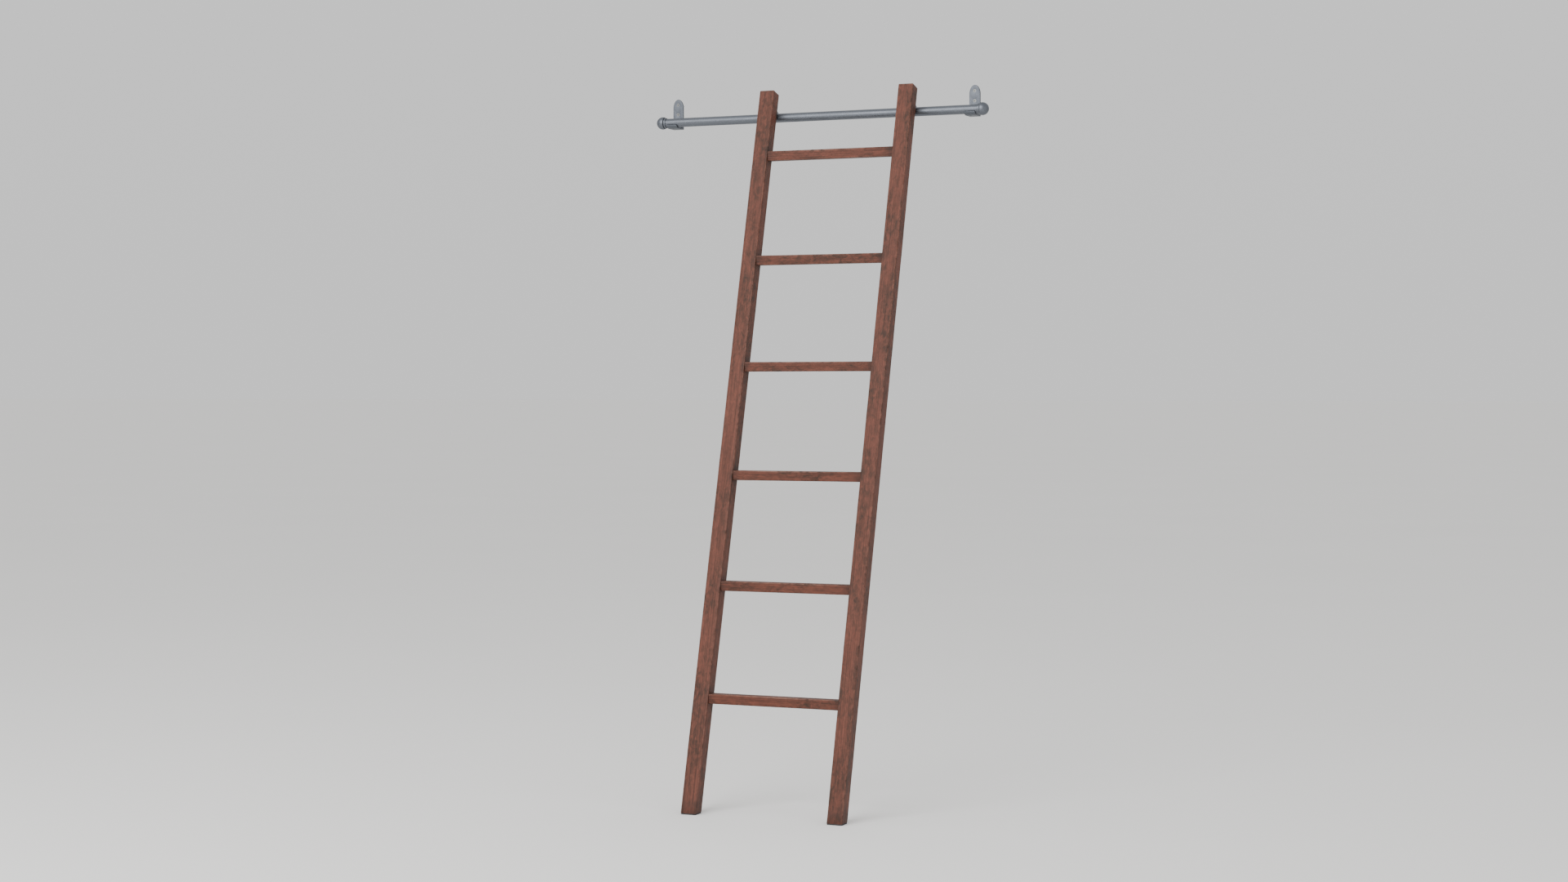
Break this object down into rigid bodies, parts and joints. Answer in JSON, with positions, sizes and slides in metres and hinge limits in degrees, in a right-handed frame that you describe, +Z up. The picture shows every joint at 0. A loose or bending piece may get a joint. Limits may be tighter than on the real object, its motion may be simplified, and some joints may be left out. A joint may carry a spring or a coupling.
{
  "type": "library ladder",
  "caption": "Leaning wooden ladder with level rungs that hooks over a wall-bracketed steel rail, slides along it and swings out at the foot.",
  "frame": {"origin": "on the floor, at the middle of the part's box seen from above", "axes": "+X along the rail to the right, +Y towards the bookcase that the rail is fixed to, +Z up"},
  "size_m": [0.9856, 0.6276, 1.9266],
  "materials": {
    "stile_wood": "matt oiled mahogany",
    "rung_wood": "matt oiled mahogany",
    "peg_wood": "end grain of turned pegs",
    "rail_steel": "satin",
    "bracket_steel": "satin",
    "hook_steel": "satin",
    "screw_steel": "bright zinc",
    "glide_nylon": "moulded",
    "foot_rubber": "moulded"
  },
  "bodies": {
    "rail": {"rail_tube": "rail_steel", "rail_grub_screws": "screw_steel", "left_bracket": "bracket_steel", "right_bracket": "bracket_steel", "left_bracket_screws": "screw_steel", "right_bracket_screws": "screw_steel", "left_end_ball": "rail_steel", "right_end_ball": "rail_steel"},
    "glide_shoes": {"left_glide_shoe": "glide_nylon", "right_glide_shoe": "glide_nylon"},
    "ladder": {"left_hook": "hook_steel", "left_hook_screws": "screw_steel", "left_stile": "stile_wood", "left_rung_pegs": "peg_wood", "left_foot_pad": "foot_rubber", "left_foot_screws": "screw_steel", "right_hook": "hook_steel", "right_hook_screws": "screw_steel", "right_stile": "stile_wood", "right_rung_pegs": "peg_wood", "right_foot_pad": "foot_rubber", "right_foot_screws": "screw_steel", "rung_1": "rung_wood", "rung_2": "rung_wood", "rung_3": "rung_wood", "rung_4": "rung_wood", "rung_5": "rung_wood", "rung_6": "rung_wood"}
  },
  "joints": [
    {"name": "slide_along_rail", "type": "slide", "parent": "rail", "child": "glide_shoes", "axis": [1, 0, 0], "range_m": [-0.31, 0.175]},
    {"name": "swing_out", "type": "hinge", "parent": "glide_shoes", "child": "ladder", "pos_m": [0.067, 0.24281, 1.8539], "axis": [-1, 0, 0], "range_deg": [0, 25]}
  ]
}
